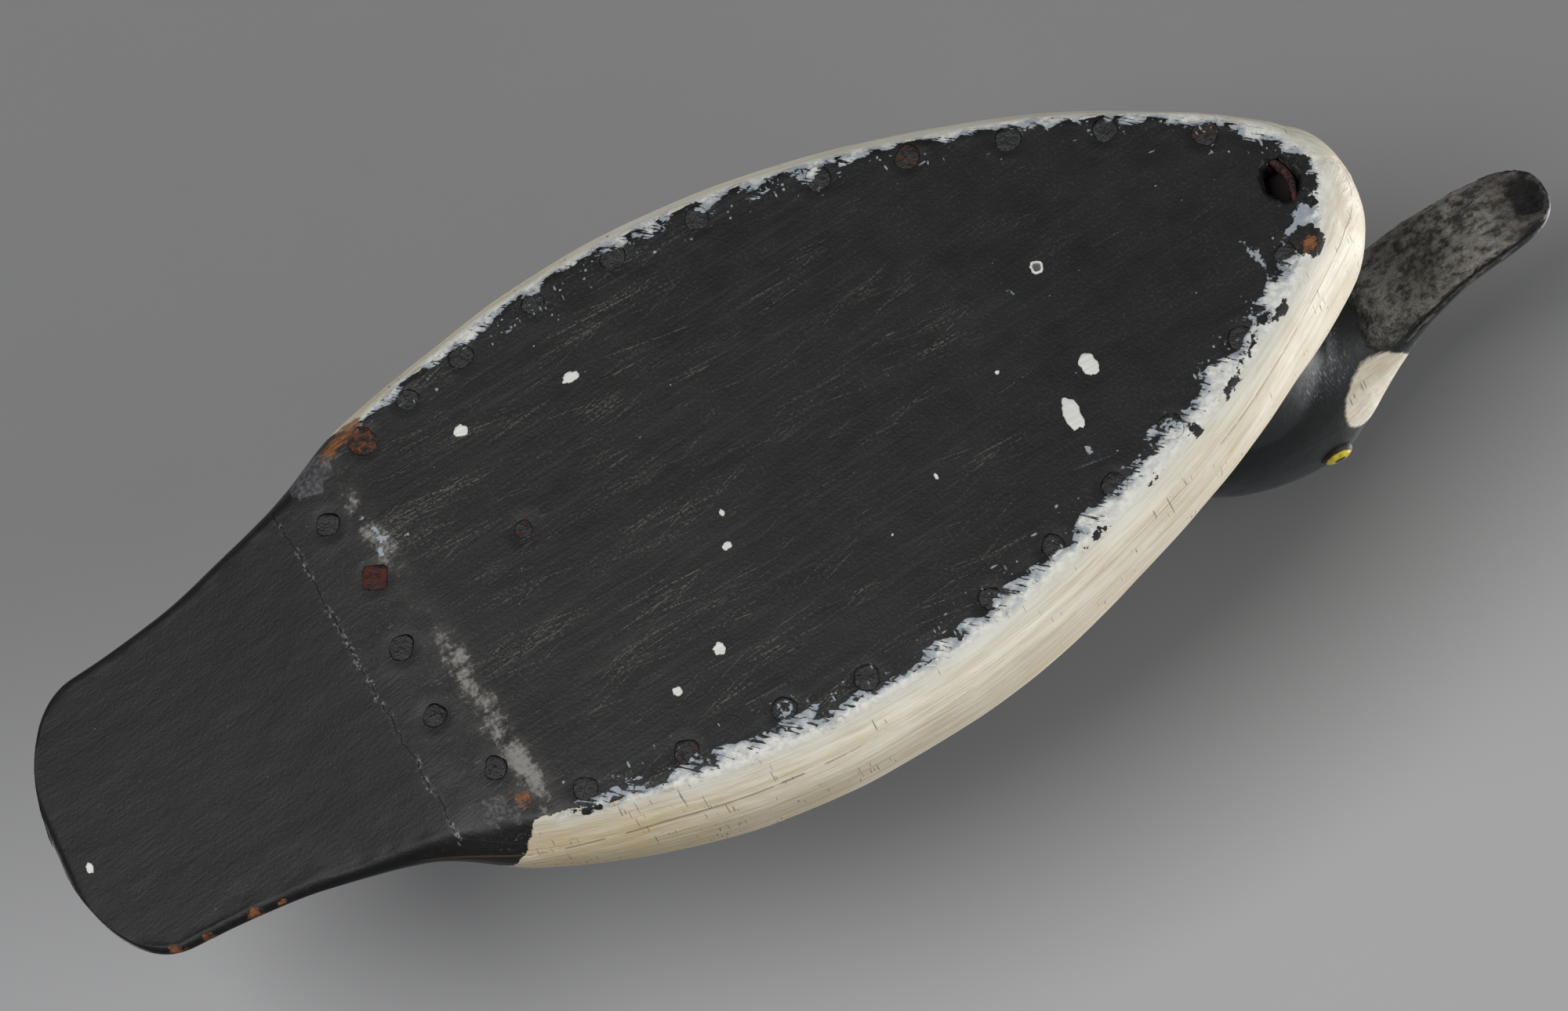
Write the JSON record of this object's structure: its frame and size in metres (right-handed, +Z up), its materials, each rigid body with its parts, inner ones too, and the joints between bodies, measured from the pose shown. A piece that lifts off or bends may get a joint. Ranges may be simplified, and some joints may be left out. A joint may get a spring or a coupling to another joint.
{
  "type": "floating duck decoy",
  "caption": "Hollow carved wooden floating duck decoy: body shell with paddle tail, nailed-on bottom board, head with domed tack eyes, and a wire staple for the anchor line.",
  "frame": {"origin": "middle of the underside of the bounding box: on the flat bottom board, midway between the end of the tail and the tip of the bill", "axes": "+X forward towards the bill, +Y the duck's left, +Z up from the flat underside towards the back"},
  "size_m": [0.3947, 0.1516, 0.1437],
  "materials": {
    "cream_painted_wood": "aged satin oil paint, cream flanks with crackle, black back and tail",
    "black_painted_wood": "charcoal black satin oil paint, scratched and worn along the edges",
    "head_painted_wood": "dark green-black satin paint with a cream cheek patch, and a dark bill",
    "eye_enamel": "glossy yellow enamel with a dark pupil",
    "old_iron": "rusted iron under old black paint",
    "screw_steel": "dull bare steel"
  },
  "bodies": {
    "root": {"body_shell": "cream_painted_wood", "bottom_board": "black_painted_wood", "head": "head_painted_wood", "eye_left": "eye_enamel", "eye_right": "eye_enamel", "line_tie": "old_iron", "neck_screw": "screw_steel", "nail_left_01": "old_iron", "nail_left_02": "old_iron", "nail_left_03": "old_iron", "nail_left_04": "old_iron", "nail_left_05": "old_iron", "nail_left_06": "old_iron", "nail_left_07": "old_iron", "nail_left_08": "old_iron", "nail_left_09": "old_iron", "nail_left_10": "old_iron", "nail_right_01": "old_iron", "nail_right_02": "old_iron", "nail_right_03": "old_iron", "nail_right_04": "old_iron", "nail_right_05": "old_iron", "nail_right_06": "old_iron", "nail_right_07": "old_iron", "nail_right_08": "old_iron", "nail_right_09": "old_iron", "nail_right_10": "old_iron", "nail_right_11": "old_iron", "nail_cross_01": "old_iron", "nail_cross_02": "old_iron", "nail_cross_03": "old_iron", "nail_cross_04": "old_iron", "nail_cross_05": "old_iron", "nail_cross_06": "old_iron"}
  },
  "joints": []
}
